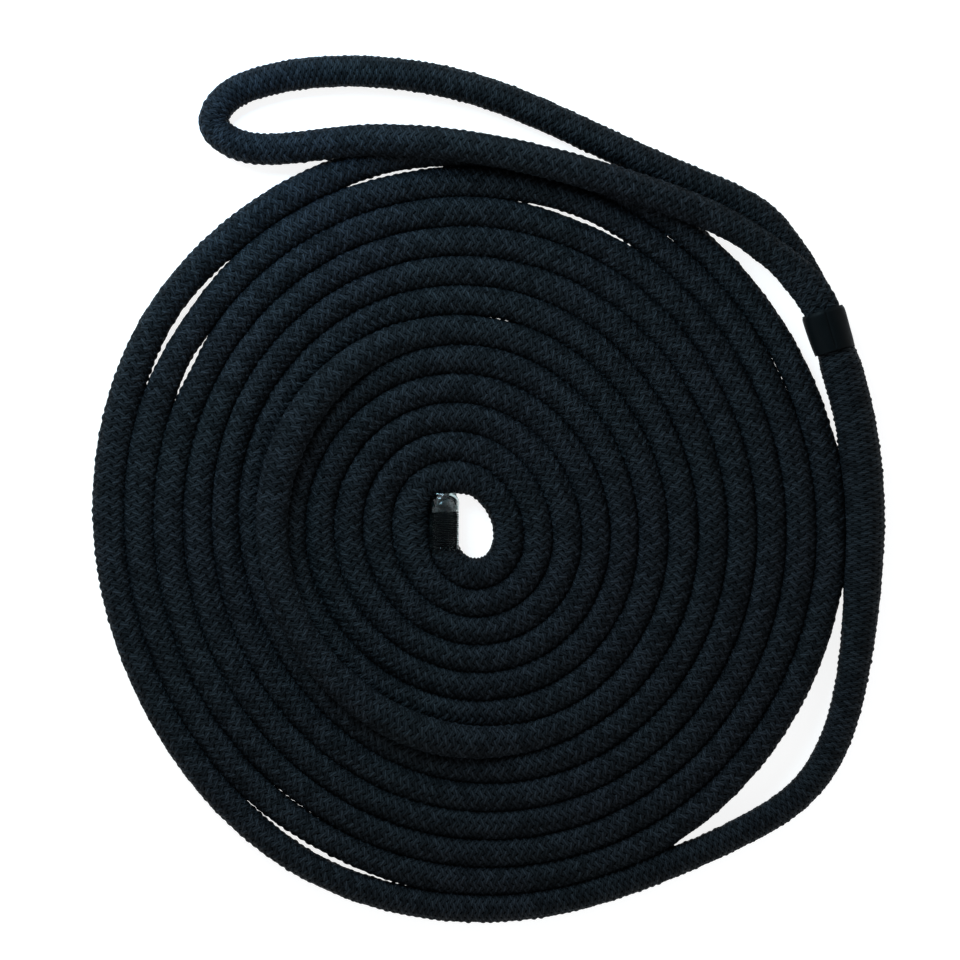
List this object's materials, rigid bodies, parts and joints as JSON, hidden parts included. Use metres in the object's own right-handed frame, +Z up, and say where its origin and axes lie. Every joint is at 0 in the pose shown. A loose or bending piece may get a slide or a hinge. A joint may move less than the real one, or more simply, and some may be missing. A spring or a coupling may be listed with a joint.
{
  "type": "coiled dock line",
  "caption": "Braided dock line laid down in a flat round coil, with its whipped end in the middle and its spliced eye lying over the outside turn.",
  "frame": {"origin": "middle of the flat coil, on the surface it lies on", "axes": "+Z up from the surface, +Y from the coil's middle towards the eye's outer leg, +X towards the splice"},
  "size_m": [0.3462, 0.378, 0.0252],
  "materials": {
    "rope_cover": "black braided nylon with a soft sheen",
    "rope_core": "white braided nylon",
    "twine": "waxed black whipping twine",
    "black_shrink": "satin black heat-shrink tube",
    "clear_shrink": "clear glossy heat-shrink tube",
    "melted_nylon": "melted and hardened nylon"
  },
  "bodies": {
    "root": {"rope_coil": "rope_cover", "outer_cover": "rope_cover", "outer_core": "rope_core", "eye_cover": "rope_cover", "eye_core": "rope_core", "buried_tail": "rope_cover", "throat_whipping": "twine", "throat_sleeve": "black_shrink", "end_cover": "rope_cover", "end_core": "rope_core", "end_whipping": "twine", "end_shrink_tube": "clear_shrink", "sealed_end": "melted_nylon"}
  },
  "joints": []
}
